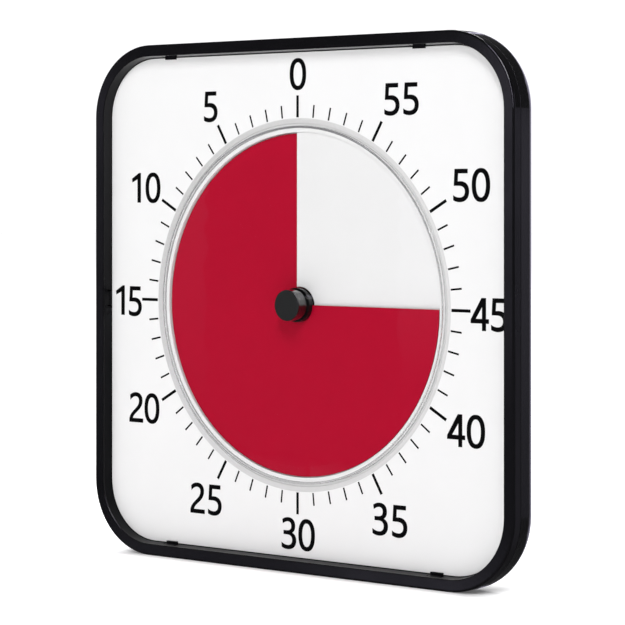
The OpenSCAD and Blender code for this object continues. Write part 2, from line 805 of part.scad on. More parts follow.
module rear_housing() color(satin) {
    stand() difference() {
        union() {
            loop(side) housing_profile();
            slab(side + shoulder_u, shoulder_u, z_back, z_panel);
            for (p = case_screws) translate(p) disc(boss_r + 0.5, z_panel - eps, z_boss);
            for (p = pan_screws_at) translate(p) disc(boss_r, z_panel - eps, z_pan - pan_t);
        }
        slab(bay_size / 2 + slide_gap, bay_r + slide_gap, z_back - 1, z_panel + 1);
        for (p = case_screws) translate(p) {
            disc(screw_shank + screw_gap + 0.1, z_back, z_boss + 1);
            disc(screw_head + 0.4, z_back - 1, head_seat);
        }
        for (p = pan_screws_at) translate(p) disc(screw_shank + turn_gap, z_back + 1, z_pan);
        for (p = bay_screws_at) translate(p) {
            disc(small_shank + screw_gap, z_back, z_panel + 1);
            disc(small_head + 0.3, z_back - 1, z_back + small_seat);
        }
    }
    foot_lugs();
}

// ---- bay: battery, board and sounder ---------------------------------------------------------

module bay_shell() {
    loop(bay_side) bay_profile();
    slab(bay_size / 2 - bay_edge_r, bay_r - bay_edge_r, z_bay, z_bay_in);
    for (p = bay_screws_at) translate(p) mirror([p[0] < 0 ? 1 : 0, 0]) bay_ear();
}

module bay_ear() {
    disc(bay_ear_r, z_flange, z_ear);
    box(bay_size / 2 - wall - bay_screw_x, 0, -bay_ear_r, bay_ear_r,
        z_flange, z_flange + bay_flange_t);
}

module bay_posts() {
    for (p = board_posts) translate(p) disc(board_post_r, z_bay_in - eps, z_board - board_t);
    translate(sounder_at) ring(sounder_r + slide_gap, sounder_r + 1.6, z_bay_in - eps, z_bay_in + 4);
    for (p = hanger_screws_at) translate(p)
        disc(small_shank + 2, z_bay_in - eps, z_bay_in + hanger_boss_h);
}

module battery_trough() {
    half_l = trough_len / 2 + trough_wall;
    half_w = trough_w / 2 + trough_wall;
    box(-half_l, half_l, cell_y - half_w, cell_y + half_w, z_bay_in - eps, z_trough + trough_wall);
    box(-door_w / 2 - 3, door_w / 2 + 3, -bay_size / 2 + wall, door_top + 3,
        z_bay_in - eps, z_bay_in + door_floor_t);
}

module door_recess() {
    half = door_w / 2 + slide_gap;
    low = -bay_size / 2 - 1;
    box(-half, half, low, door_top + slide_gap, z_bay - 1, z_bay_in - 0.05);
    box(-half - tongue_reach - 0.05, half + tongue_reach + 0.05, low, door_top + slide_gap,
        z_door - tongue_t - slide_gap, z_bay_in - 0.05);
    box(-door_w / 4, door_w / 4, door_top - 1, door_top + slide_gap + tongue_reach + 0.05,
        z_door - tongue_t - slide_gap, z_bay_in - 0.05);
}

module bay_housing() color(satin) stand() difference() {
    union() {
        bay_shell();
        bay_posts();
        battery_trough();
    }
    box(-trough_len / 2, trough_len / 2, cell_y - trough_w / 2, cell_y + trough_w / 2,
        z_bay_in - 1, z_trough);
    door_recess();
    for (p = board_posts) translate(p) disc(small_shank + turn_gap, z_bay_in + 0.6, z_board);
    for (p = bay_screws_at) translate(p) disc(small_shank + turn_gap, z_flange - 1, z_ear - 0.6);
    for (p = hanger_screws_at) translate(p)
        disc(small_shank + turn_gap, z_bay, z_bay_in + hanger_boss_h - 0.8);
    translate([0, hanger_y, z_bay - 1]) rotate(90) {
        linear_extrude(1 + hanger_t) stadium(hanger_len + 0.3, hanger_w + 0.3);
        linear_extrude(wall + 2) stadium(hanger_window[0], hanger_window[1]);
    }
    translate([sounder_at[0], sounder_at[1], z_bay - 1]) linear_extrude(wall + 2) grille();
    translate([switch_at[0], switch_at[1], z_bay - 1]) {
        linear_extrude(wall + 2)
            stadium(stem_w + switch_travel + switch_slot_end, stem_h + 0.6);
        linear_extrude(1.8) stadium(switch_dish_len, switch_dish_w);
    }
}

module battery_door() color(satin) stand() difference() {
    union() {
        box(-door_w / 2, door_w / 2, door_bottom, door_top, z_bay, z_door);
        box(-door_w / 2 - tongue_reach, door_w / 2 + tongue_reach, door_bottom + tongue_in, door_top - 2,
            z_door - tongue_t, z_door);
        box(-door_w / 5, door_w / 5, door_top - 2, door_top + tongue_reach,
            z_door - tongue_t, z_door);
    }
    for (i = [0 : 3]) translate([0, door_bottom + 4 + i * 2.4, z_bay - 0.5])
        linear_extrude(1) stadium(18 - 2 * i, 1.1);
}

// ---- electrical pieces ---------------------------------------------------------------------

module battery_cell() color([0.25, 0.3, 0.33]) stand()
    translate([cell_x - cell_len, cell_y, z_cell]) rotate([0, 90, 0]) {
        cylinder(d = cell_d, h = cell_len - nub_len);
        cylinder(r = nub_r, h = cell_len);
    }

// Conical coil spring on its contact plate
module battery_spring() {
    turns = 4;
    wire = 0.4;
    ring_steps = 14;
    n = turns * ring_steps;
    x0 = -trough_len / 2;
    start = contact_t + wire;
    len = spring_len - 2 * wire - 0.1;
    function radius(i) = 5 - 2 * i / n;
    function centre(i) = let(a = 360 * i / ring_steps)
        [start + len * i / n, radius(i) * cos(a), radius(i) * sin(a)];
    function around(i, k) = let(a = 360 * i / ring_steps, b = 60 * k)
        centre(i) + wire * [cos(b), sin(b) * cos(a), sin(b) * sin(a)];
    points = [for (i = [0 : n], k = [0 : 5]) around(i, k)];
    sides = [
        for (i = [0 : n - 1], k = [0 : 5]) let(p = 6 * i + k, q = 6 * i + (k + 1) % 6)
            each [[p, p + 6, q + 6], [p, q + 6, q]]
    ];
    ends = [
        for (k = [1 : 4]) each [[0, k, k + 1], [6 * n, 6 * n + k + 1, 6 * n + k]]
    ];
    color(steel) stand() translate([x0, cell_y, z_cell]) {
        box(turn_gap, contact_t + turn_gap, -plate_w / 2, plate_w / 2, -plate_w / 2, plate_w / 2);
        polyhedron(points, concat(sides, ends));
    }
}

module battery_plate() color(steel) stand()
    translate([trough_len / 2 - contact_t, cell_y, z_cell])
    box(0, contact_t - turn_gap, -plate_w / 2, plate_w / 2, -plate_w / 2, plate_w / 2);

module circuit_board() stand() {
    color([0.1, 0.35, 0.18]) difference() {
        box(board_x[0], board_x[1], board_y[0], board_y[1], z_board - board_t, z_board);
        for (p = board_posts) translate(p)
            disc(small_shank + screw_gap, z_board - board_t - 1, z_board + 1);
    }
    color("black") {
        translate([board_x[0], board_y[0], z_board - eps]) {
            translate(chips_at[0]) cube([7, 3, 1.5]);
            translate(chips_at[1]) cylinder(r = 4.5, h = 1.2);
            translate(chips_at[2]) cylinder(r = 3.2, h = 5.5);
        }
    }
}

module switch_body() color(steel) stand() translate(switch_at) difference() {
    box(-7, 7, -3.3, 3.3, z_board - board_t - 2.6, z_board - board_t);
    box(-5, 5, -1.2, 1.2, z_board - board_t - 3, z_board - board_t - 1);
}

module switch_slider() color([0.85, 0.85, 0.85]) stand()
    translate([switch_at[0] + switch_travel / 2, switch_at[1], 0]) {
        z_under = z_bay_in + 0.2;
        box(-7, 7, -3.8, 3.8, z_under, z_under + 0.8);
        box(-stem_w / 2, stem_w / 2, -stem_h / 2, stem_h / 2, z_bay + 0.3, z_under + eps);
        box(-1, 1, -0.9, 0.9, z_under, z_board - board_t - 1.4);
    }

module sounder() color([0.08, 0.08, 0.08]) stand() translate(sounder_at) difference() {
    disc(sounder_r, z_bay_in + 0.05, z_bay_in + sounder_t);
    disc(2, z_bay_in - 1, z_bay_in + 2.5);
}

// ---- feet ----------------------------------------------------------------------------------

module foot(fold) place_one_foot(fold) difference() {
    union() {
        cylinder(r = foot_barrel_r, h = foot_h);
        rotate([90, 0, 90]) linear_extrude(foot_t, center = true) foot_side();
    }
    translate([0, 0, foot_lug_z - 0.2])
        cylinder(r = foot_barrel_r + 0.9, h = foot_lug_h + 0.4);
    translate([0, 0, -1]) cylinder(r = foot_pin_r + turn_gap, h = foot_h + 2);
}

module foot_side() {
    r = foot_tip_h / 2;
    square([foot_barrel_r + 3, foot_h]);
    polygon([
        [0, 0], [foot_len - r, 0], [foot_len - r, foot_tip_h], [foot_barrel_r + 3, foot_h], [0, foot_h]
    ]);
    translate([foot_len - r, r]) circle(r);
}

module place_one_foot(s) translate([s * foot_x, foot_pin_y, 0]) rotate(s * foot_angle) children();

module foot_left() color(satin) foot(-1);

module foot_right() color(satin) foot(1);

module foot_pins() color(steel) place_feet()
    translate([0, 0, 0.6]) cylinder(r = foot_pin_r, h = foot_h - 1);

// ---- screws --------------------------------------------------------------------------------

module housing_screws() color(steel) stand() for (p = case_screws)
    translate([p[0], p[1], head_seat]) mirror([0, 0, 1])
        screw(screw_head, screw_head_t, screw_shank, case_screw_len);

module bay_screws() color(steel) stand() for (p = bay_screws_at)
    translate([p[0], p[1], z_back + small_seat]) mirror([0, 0, 1])
        screw(small_head, small_head_t, small_shank, z_ear - 1 - z_back - small_seat);

module hanger_screws() color(steel) stand() for (p = hanger_screws_at)
    translate([p[0], p[1], z_bay + hanger_t / 2]) mirror([0, 0, 1])
        screw(small_head, hanger_t / 2, small_shank, hanger_screw_len);

module pan_screws() color(steel) stand() for (p = pan_screws_at)
    translate([p[0], p[1], z_pan]) screw(screw_head, screw_head_t, screw_shank, pan_screw_len);

module board_screws() color(steel) stand() for (p = board_posts)
    translate([p[0], p[1], z_board])
        screw(small_head, small_head_t, small_shank, board_screw_len);

module cover_screws() color(steel) stand() for (x = [-1, 1], y = [-1, 1])
    translate([x * cover_screw_at, y * cover_screw_at, z_cover + small_head_t])
        mirror([0, 0, 1]) screw(small_head, small_head_t, small_shank, cover_screw_len);

// ---- assembly ------------------------------------------------------------------------------

front_frame();
dial_plate();
lens();
disc_pan();
slit_plate();
red_disc();
disc_hub();
knob();
spindle();
bush_nut();
movement_case();
movement_cover();
centre_wheel();
clutch_spring();
spindle_clip();
third_wheel();
fourth_wheel();
fifth_wheel();
rotor_pinion();
rotor_magnet();
stator();
coil_bobbin();
coil_winding();
rear_housing();
bay_housing();
battery_door();
battery_cell();
battery_spring();
battery_plate();
circuit_board();
switch_body();
switch_slider();
sounder();
hanger_plate();
foot_left();
foot_right();
foot_pins();
housing_screws();
bay_screws();
hanger_screws();
pan_screws();
board_screws();
cover_screws();
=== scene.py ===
import json
import math

import bpy
from mathutils import Matrix, Vector


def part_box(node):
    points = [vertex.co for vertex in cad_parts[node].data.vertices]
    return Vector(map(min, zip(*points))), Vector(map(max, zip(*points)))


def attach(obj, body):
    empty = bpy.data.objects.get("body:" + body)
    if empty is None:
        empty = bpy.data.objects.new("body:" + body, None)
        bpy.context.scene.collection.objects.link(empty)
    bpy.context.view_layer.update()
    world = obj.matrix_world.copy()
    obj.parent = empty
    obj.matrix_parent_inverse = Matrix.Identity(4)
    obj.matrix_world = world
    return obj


# Visual countdown timer. Metres; the case stands on z = 0, y = 0 is the dial's front, +y into the case.
MM = 0.001

# Places on the object, in millimetres
DIAL_Z = 152.4        # height of the spindle, the middle of the dial
FACE_Y = -6.4         # just behind the front frame's face, where its walls begin
PARTING_Y = -0.2      # joint between the front frame and the rear shell
INK = 0.02            # half the thickness of the print

BLACK, WHITE = (0.0, 0.0, 0.0), (1.0, 1.0, 1.0)

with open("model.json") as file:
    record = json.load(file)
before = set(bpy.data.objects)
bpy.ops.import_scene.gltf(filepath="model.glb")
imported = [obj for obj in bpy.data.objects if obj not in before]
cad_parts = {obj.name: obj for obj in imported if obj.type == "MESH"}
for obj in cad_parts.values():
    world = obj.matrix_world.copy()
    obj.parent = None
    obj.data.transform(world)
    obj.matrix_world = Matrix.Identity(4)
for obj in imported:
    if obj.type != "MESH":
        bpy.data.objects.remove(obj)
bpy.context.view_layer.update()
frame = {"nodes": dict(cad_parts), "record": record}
nodes = frame["nodes"]


# ---- materials -------------------------------------------------------------------------------

def connect(tree, value, socket):
    """Puts a plain value on a socket, or links an output to it."""
    if isinstance(value, bpy.types.NodeSocket):
        tree.links.new(value, socket)
    elif isinstance(value, tuple) and len(socket.default_value) == 4:
        socket.default_value = (*value, 1)
    else:
        socket.default_value = value


class Recipe:
    """A node material around one Principled shader, with helpers that add texture nodes to it."""

    def __init__(self, name):
        self.mat = bpy.data.materials.new(name)
        self.mat.use_nodes = True
        self.tree = self.mat.node_tree
        self.bsdf = self.tree.nodes["Principled BSDF"]
        self.coord = self.add("ShaderNodeTexCoord").outputs["Object"]

    def add(self, kind, **values):
        node = self.tree.nodes.new(kind)
        for key, value in values.items():
            setattr(node, key, value)
        return node

    def set(self, **values):
        """Plain values on the shader's own sockets."""
        for key, value in values.items():
            self.bsdf.inputs[key.replace("_", " ")].default_value = value
        return self

    def feed(self, name, value):
        """Links a value to a socket of the shader."""
        self.tree.links.new(value, self.bsdf.inputs[name])
        return self

    def noise(self, scale, detail=2.0, stretch=None):
        node = self.add("ShaderNodeTexNoise")
        node.inputs["Scale"].default_value = scale
        node.inputs["Detail"].default_value = detail
        source = self.coord
        if stretch:
            mapping = self.add("ShaderNodeMapping")
            mapping.inputs["Scale"].default_value = stretch
            connect(self.tree, source, mapping.inputs["Vector"])
            source = mapping.outputs["Vector"]
        connect(self.tree, source, node.inputs["Vector"])
        return node.outputs["Fac"]

    def ranged(self, value, low, high, at=(0.3, 0.7)):
        """The value between the two of at, brought to low and high."""
        node = self.add("ShaderNodeMapRange")
        for key, v in zip(("From Min", "From Max", "To Min", "To Max"), (*at, low, high)):
            node.inputs[key].default_value = v
        connect(self.tree, value, node.inputs["Value"])
        return node.outputs["Result"]

    def maths(self, work, *values):
        node = self.add("ShaderNodeMath", operation=work)
        for socket, value in zip(node.inputs, values):
            connect(self.tree, value, socket)
        return node.outputs[0]

    def vector(self, work, *values):
        node = self.add("ShaderNodeVectorMath", operation=work)
        for socket, value in zip(node.inputs, values):
            connect(self.tree, value, socket)
        return node.outputs["Value" if work in ("LENGTH", "DOT_PRODUCT") else 0]

    def mix(self, factor, a, b, blend="MIX"):
        node = self.add("ShaderNodeMix", data_type="RGBA", blend_type=blend)
        for socket, value in (("Factor", factor), (6, a), (7, b)):
            connect(self.tree, value, node.inputs[socket])
        return node.outputs[2]

    def colour(self, base, vary, scale):
        """The base colour, lighter and darker by vary in soft patches."""
        patches = self.ranged(self.noise(scale, 3), 0, 1)
        darker = tuple(min(1, c * (1 - vary)) for c in base)
        lighter = tuple(min(1, c * (1 + vary)) for c in base)
        out = self.mix(patches, darker, lighter)
        self.feed("Base Color", out)
        return out

    def shade(self, colour, band, factor):
        """Darkens a colour by factor where band is 1."""
        out = self.mix(band, colour, factor, "MULTIPLY")
        self.feed("Base Color", out)
        return out

    def rough(self, base, vary, scale, stretch=None):
        patches = self.noise(scale, 4, stretch)
        return self.feed("Roughness", self.ranged(patches, max(0, base - vary), base + vary))

    def bump(self, height, depth, strength, edge=0.0):
        """Relief of a height; edge is the radius at which the mesh's own edges are rounded."""
        node = self.add("ShaderNodeBump")
        node.inputs["Strength"].default_value = strength
        node.inputs["Distance"].default_value = depth
        connect(self.tree, height, node.inputs["Height"])
        if edge:
            bevel = self.add("ShaderNodeBevel", samples=4)
            bevel.inputs["Radius"].default_value = edge
            connect(self.tree, bevel.outputs["Normal"], node.inputs["Normal"])
        return self.feed("Normal", node.outputs["Normal"])

    def along(self, axis):
        node = self.add("ShaderNodeSeparateXYZ")
        connect(self.tree, self.coord, node.inputs[0])
        return node.outputs[axis]

    def band(self, inner, outer, soft):
        """1 between two radii round the spindle, in millimetres, falling to 0 over soft at both."""
        flat = self.vector("MULTIPLY_ADD", self.coord, (1, 0, 1), (0, 0, -DIAL_Z * MM))
        radius = self.vector("LENGTH", flat)
        rise = self.ranged(radius, 0, 1, ((inner - soft) * MM, inner * MM))
        fall = self.ranged(radius, 1, 0, (outer * MM, (outer + soft) * MM))
        return self.maths("MULTIPLY", rise, fall)


# Moulded black plastic: soft patches in the colour, a faint orange peel and barely rounded edges
BLACK_VARY, BLACK_PATCH, GLOSS_PATCH = 0.12, 24, 45
PEEL, PEEL_DEPTH, PEEL_STRENGTH, BLACK_EDGE = 420, 0.00002, 0.35, 0.00025


def black(name, base):
    r = Recipe(name).set(IOR=1.5, Specular_IOR_Level=0.3)
    r.colour(base, BLACK_VARY, BLACK_PATCH)
    return r


def hub_plastic():
    """Polished black."""
    r = black("hub_black", (0.005, 0.005, 0.0055))
    r.rough(0.12, 0.042, GLOSS_PATCH)
    r.bump(r.noise(PEEL), PEEL_DEPTH, PEEL_STRENGTH, BLACK_EDGE)
    return r.mat


def frame_plastic():
    """Polished black face; the moulded walls behind it are duller towards the foot and reflect less."""
    r = black("frame_black", (0.0035, 0.0034, 0.0042))
    y, z = r.along("Y"), r.along("Z")
    wall = r.ranged(y, 0, 1, (FACE_Y * MM, (FACE_Y + 0.8) * MM))
    dull = r.maths("MULTIPLY", wall, r.ranged(z, 0.3, 0.03, (70 * MM, 260 * MM)))
    joint = r.ranged(y, 0, 0.5, ((PARTING_Y - 0.4) * MM, (PARTING_Y - 0.2) * MM))
    patches = r.ranged(r.noise(GLOSS_PATCH, 4), 0.06, 0.12)
    r.feed("Roughness", r.maths("ADD", r.maths("ADD", patches, dull), joint))
    faint = r.maths("MULTIPLY", wall, r.ranged(z, 0.95, 0.4, (110 * MM, 240 * MM)))
    r.feed("Specular Tint", r.mix(faint, WHITE, BLACK))
    r.bump(r.noise(PEEL), PEEL_DEPTH, PEEL_STRENGTH, BLACK_EDGE)
    return r.mat


def shell_plastic():
    """Polished rim, fine-grained back."""
    r = black("housing_black", (0.0045, 0.0044, 0.005))
    y = r.along("Y")
    back = r.ranged(y, 0, 1, (14.6 * MM, 17 * MM))
    dull = r.maths("MULTIPLY", back, 0.22)
    joint = r.ranged(y, 0.5, 0, (PARTING_Y * MM, (PARTING_Y + 0.25) * MM))
    patches = r.ranged(r.noise(GLOSS_PATCH, 4), 0.09, 0.17)
    r.feed("Roughness", r.maths("ADD", r.maths("ADD", patches, dull), joint))
    peel = r.maths("MULTIPLY", r.noise(PEEL), 0.3)
    grain = r.maths("MULTIPLY", r.maths("MULTIPLY", r.noise(1500, 3), back), 0.9)
    r.bump(r.maths("ADD", peel, grain), 0.00006, 0.4, BLACK_EDGE)
    return r.mat


def grained(name, base, rough, grain=2600, depth=0.00004, vary=0.06, shine=0.5):
    """Matt surface of one colour with a fine grain."""
    r = Recipe(name).set(Specular_IOR_Level=shine)
    r.colour(base, vary, 30)
    r.rough(rough, 0.08, 180)
    r.bump(r.noise(grain), depth, 0.5, edge=0.0002)
    return r.mat


def metal(name, base, rough, stretch=(1, 1, 30)):
    """Metal with fine lines, drawn out across the stretched axes."""
    r = Recipe(name).set(Metallic=1.0)
    r.colour(base, 0.05, 90)
    r.rough(rough, 0.1, 900, stretch)
    r.bump(r.noise(1400, stretch=stretch), 0.00002, 0.4, edge=0.0001)
    return r.mat


def knob_plastic():
    """Glossy side and a satin face."""
    r = Recipe("knob_black").set(IOR=1.5, Specular_IOR_Level=0.4, Coat_Roughness=0.06)
    face = r.ranged(r.along("Y"), 1, 0, (-10.16 * MM, -9.98 * MM))
    r.feed("Base Color", r.mix(face, (0.004, 0.004, 0.0045), (0.009, 0.0098, 0.0096)))
    patches = r.ranged(r.noise(160, 3), 0.07, 0.12)
    r.feed("Roughness", r.maths("MULTIPLY_ADD", face, 0.42, patches))
    r.feed("Coat Weight", r.maths("SUBTRACT", 1, face))
    r.bump(r.noise(2400), 0.00003, 0.3)
    return r.mat


def dial_sheet():
    """White sheet with painted shade on its bevelled edge, darker towards its upper left, and a painted dark
    line of shade round the bevel's outer rim.
    """
    r = Recipe("dial_white")
    white = r.colour((0.7, 0.7, 0.7), 0.008, 30)
    # Painted shade on the bevel round the lens, in streaks and darker towards the upper left
    edge = r.maths("MULTIPLY", r.ranged(r.noise(900), 0.9, 1.0), r.band(103.5, 106.3, 0.15))
    tilted = r.vector("DOT_PRODUCT", r.coord, (0.906, 0, -0.42))
    side = r.ranged(tilted, 1.0, 0.3, (-164 * MM, 36 * MM))
    bevel_shaded = r.shade(white, r.maths("MULTIPLY", edge, side), (0.6, 0.6, 0.6))
    # Painted dark line of shade along the bevel's outer rim
    r.shade(bevel_shaded, r.band(106.4, 106.7, 0.15), (0.78, 0.78, 0.78))
    r.rough(0.5, 0.08, 180)
    r.bump(r.noise(3000), 0.00001, 0.5, edge=0.0002)
    return r.mat


def plate_plastic():
    """White moulded plastic, in the shade where it shows in the gap round the lens."""
    r = Recipe("plate_white").set(Specular_IOR_Level=0.2)
    white = r.colour((0.645, 0.645, 0.645), 0.01, 30)
    r.shade(white, r.band(102.4, 120, 0.2), (0.74, 0.74, 0.74))
    r.rough(0.55, 0.08, 180)
    r.bump(r.noise(2500), 0.00001, 0.5, edge=0.0002)
    return r.mat


def clear():
    """Clear plastic with a painted dark line of shade where the window turns into its rim wall, stronger
    towards the top.
    """
    r = Recipe("lens_clear").set(IOR=1.49, Transmission_Weight=1.0, Specular_Tint=(0.28, 0.28, 0.28, 1))
    # Painted shade on the line round the window's rim, stronger towards the top
    high = r.ranged(r.along("Z"), 0.4, 1.0, ((DIAL_Z - 40) * MM, (DIAL_Z + 100) * MM))
    line = r.maths("MULTIPLY", high, r.band(101.3, 102.0, 0.2))
    r.feed("Base Color", r.mix(line, WHITE, (0.3, 0.3, 0.31)))
    r.rough(0.004, 0.004, 60)
    return r.mat


def cell_sleeve():
    """Printed sleeve with plain bands, bare metal at both ends."""
    r = Recipe("cell_sleeve")
    x = r.along("X")
    tone = r.mix(r.ranged(x, 0, 1, (0.0105, 0.0107)), (0.02, 0.022, 0.025), (0.42, 0.2, 0.06))
    sleeve = r.maths("COMPARE", x, -0.0010, 0.0238)
    r.feed("Base Color", r.mix(sleeve, (0.62, 0.62, 0.64), tone))
    r.feed("Metallic", r.maths("SUBTRACT", 1, sleeve))
    r.rough(0.3, 0.06, 300)
    r.bump(r.noise(900), 0.00002, 0.3)
    return r.mat


def board_green():
    """Solder resist over tracks."""
    r = Recipe("board_green")
    turn = r.add("ShaderNodeMapping")
    turn.inputs["Rotation"].default_value = (math.pi / 2, 0, 0)
    connect(r.tree, r.coord, turn.inputs["Vector"])
    tracks = r.add("ShaderNodeTexBrick", offset=0.35)
    for key, value in (
        ("Vector", turn.outputs["Vector"]),
        ("Color1", (0.012, 0.11, 0.035)), ("Color2", (0.014, 0.13, 0.04)), ("Mortar", (0.03, 0.22, 0.08)),
        ("Scale", 210.0), ("Mortar Size", 0.06), ("Brick Width", 0.9), ("Row Height", 0.4),
    ):
        connect(r.tree, value, tracks.inputs[key])
    r.feed("Base Color", tracks.outputs["Color"])
    r.rough(0.32, 0.05, 200)
    r.bump(r.noise(900), 0.00003, 0.4)
    return r.mat


MATERIALS = {
    "frame_black": frame_plastic(),
    "housing_black": shell_plastic(),
    "dial_white": dial_sheet(),
    "lens_clear": clear(),
    "plate_white": plate_plastic(),
    "disc_red": grained("disc_red", (0.332, 0.001, 0.0175), 0.6, 3500, 0.00001, 0.015, 0.04),
    "knob_black": knob_plastic(),
    "hub_black": hub_plastic(),
    "steel": metal("steel", (0.6, 0.6, 0.62), 0.28),
    "brass": metal("brass", (0.75, 0.55, 0.25), 0.25),
    "movement_black": grained("movement_black", (0.02, 0.02, 0.021), 0.5),
    "cell_grey": cell_sleeve(),
    "contact_nickel": metal("contact_nickel", (0.66, 0.65, 0.62), 0.2),
    "board_green": board_green(),
    "slider_grey": grained("slider_grey", (0.55, 0.55, 0.55), 0.4),
    "sounder_black": grained("sounder_black", (0.012, 0.012, 0.012), 0.6),
    "gear_natural": grained("gear_natural", (0.68, 0.65, 0.52), 0.38, 1800, 0.00002, 0.04),
    "magnet_dark": grained("magnet_dark", (0.03, 0.03, 0.032), 0.45),
    "copper_wire": metal("copper_wire", (0.72, 0.32, 0.14), 0.3, (60, 1, 60)),
}
print_black = grained("print_black", (0.0009, 0.0009, 0.0009), 0.5, 3000, 0.00001, 0.1, 0.1)
print_grey = grained("print_grey", (0.5, 0.5, 0.5), 0.5, 3000, 0.00001, 0.05)

for part in frame["record"]["subparts"]:
    slots = nodes[part["node"]].data.materials
    slots.clear()
    slots.append(MATERIALS[part["material_slot"]])

# The clear window dims nothing behind it
nodes["lens"].visible_shadow = False
nodes["lens"].visible_diffuse = False


# ---- printed pieces --------------------------------------------------------------------------

def bezier(p0, p1, p2, p3, n=12):
    points = []
    for i in range(1, n + 1):
        t = i / n
        u = 1 - t
        points.append(tuple(
            u ** 3 * a + 3 * u * u * t * b + 3 * u * t * t * c + t ** 3 * d
            for a, b, c, d in zip(p0, p1, p2, p3)
        ))
    return points


def outline(start, *parts):
    """Points of a closed outline. A part is a point for a line, or three for a curve."""
    points = [start]
    for part in parts:
        if isinstance(part[0], tuple):
            points += bezier(points[-1], *part)
        else:
            points.append(part)
    return points


def oval(cx, cy, a, b, power, n=72):
    """Ellipse for power 2, squarer above it."""
    points = []
    for i in range(n):
        c, s = math.cos(2 * math.pi * i / n), math.sin(2 * math.pi * i / n)
        points.append((
            cx + a * math.copysign(abs(c) ** (2 / power), c),
            cy + b * math.copysign(abs(s) ** (2 / power), s),
        ))
    return points


# Digits in millimetres, from their left edge and the baseline, 17.75 high
DIGITS = {
    "0": [oval(5.95, 8.87, 5.95, 9.12, 2.3), oval(5.95, 8.87, 3.3, 6.75, 2.2)],
    "1": [outline((7.1, 0), (7.1, 17.75), (5.6, 17.75), (0, 14.35), (0.35, 12.2), (4.45, 14.1), (4.45, 0))],
    "2": [outline(
        (0, 0), (11.1, 0), (11.1, 2.35), (2.75, 2.35),
        ((3.1, 4.2), (4.9, 5.4), (6.9, 7.0)), ((9.2, 8.8), (10.5, 10.8), (10.5, 13.2)),
        ((10.5, 16.2), (8.5, 18.0), (5.4, 18.0)), ((3.6, 18.0), (1.9, 17.4), (0.6, 16.2)),
        (0.85, 13.4), ((2.1, 14.8), (3.7, 15.65), (5.1, 15.65)),
        ((6.9, 15.65), (7.8, 14.6), (7.8, 13.0)), ((7.8, 11.2), (6.9, 9.9), (4.9, 8.2)),
        ((2.0, 5.8), (0.15, 4.0), (0, 1.6)),
    )],
    "3": [outline(
        (0.1, 0.85), ((1.4, 0.1), (2.9, -0.25), (4.4, -0.25)), ((8.4, -0.25), (10.7, 1.9), (10.7, 5.0)),
        ((10.7, 7.3), (9.5, 8.8), (7.6, 9.35)), ((9.3, 10.1), (9.95, 11.6), (9.95, 13.3)),
        ((9.95, 16.3), (8.0, 18.0), (5.0, 18.0)), ((3.4, 18.0), (1.9, 17.6), (0.6, 16.6)),
        (1.0, 14.3), ((2.2, 15.2), (3.4, 15.75), (4.6, 15.75)), ((6.3, 15.75), (7.2, 14.8), (7.2, 13.1)),
        ((7.2, 11.3), (6.0, 10.4), (3.9, 10.4)), (1.5, 10.4), (1.5, 8.2), (4.0, 8.2),
        ((6.6, 8.2), (7.85, 7.1), (7.85, 5.1)), ((7.85, 3.1), (6.6, 2.05), (4.3, 2.05)),
        ((2.8, 2.05), (1.3, 2.6), (0, 3.45)),
    )],
    "4": [
        outline((7.45, 0), (9.95, 0), (9.95, 4.0), (11.85, 4.0), (11.85, 6.35), (9.95, 6.35),
                (9.95, 17.7), (7.1, 17.7), (0.05, 6.0), (0, 4.0), (7.45, 4.0)),
        outline((7.45, 6.35), (7.45, 13.0), (3.2, 6.35)),
    ],
    "5": [outline(
        (0.95, 17.75), (0.45, 8.65), (3.6, 8.65), ((6.2, 8.65), (7.8, 7.6), (7.8, 5.4)),
        ((7.8, 3.3), (6.4, 2.15), (4.2, 2.15)), ((2.7, 2.15), (1.2, 2.6), (0, 3.4)),
        (0.1, 0.75), ((1.3, 0.1), (2.7, -0.25), (4.3, -0.25)), ((8.3, -0.25), (10.45, 2.1), (10.45, 5.5)),
        ((10.45, 9.0), (8.2, 11.0), (4.6, 11.0)), (2.95, 10.9), (3.2, 15.4), (9.5, 15.4), (9.5, 17.75),
    )],
}

# Digit, left edge and baseline from the dial's centre, in millimetres
NUMERALS = [
    ("0", -5.69, 123.07),
    ("5", -70.64, 105.87),
    ("1", -127.99, 58.22), ("0", -116.99, 58.17),
    ("1", -141.19, -9.83), ("5", -130.64, -10.18),
    ("2", -130.14, -74.33), ("0", -117.84, -74.33),
    ("2", -81.19, -125.28), ("5", -67.49, -125.43),
    ("3", -11.74, -140.03), ("0", 0.66, -140.08),
    ("3", 53.51, -126.58), ("5", 67.06, -126.73),
    ("4", 104.36, -73.98), ("0", 117.36, -73.98),
    ("4", 119.91, -10.43), ("5", 133.21, -10.43),
    ("5", 108.36, 59.27), ("0", 120.66, 59.37),
    ("5", 61.71, 107.12), ("5", 74.81, 107.17),
]
NUMERAL_GROWTH = 0.08

# Inner radius, outer radius and half the width of a mark, in millimetres
FIVE_MINUTE_TICK = (107.2, 119.8, 0.88)
MINUTE_TICK = (107.3, 114.6, 0.53)


def tick(minute):
    """One minute mark as an outline, counter-clockwise from 12 o'clock."""
    inner, outer, half = MINUTE_TICK if minute % 5 else FIVE_MINUTE_TICK
    a = math.radians(6 * minute)
    out, across = Vector((-math.sin(a), math.cos(a))), Vector((math.cos(a), math.sin(a)))
    corners = ((inner, -half), (outer, -half), (outer, half), (inner, half))
    return [tuple(r * out + s * across) for r, s in corners]


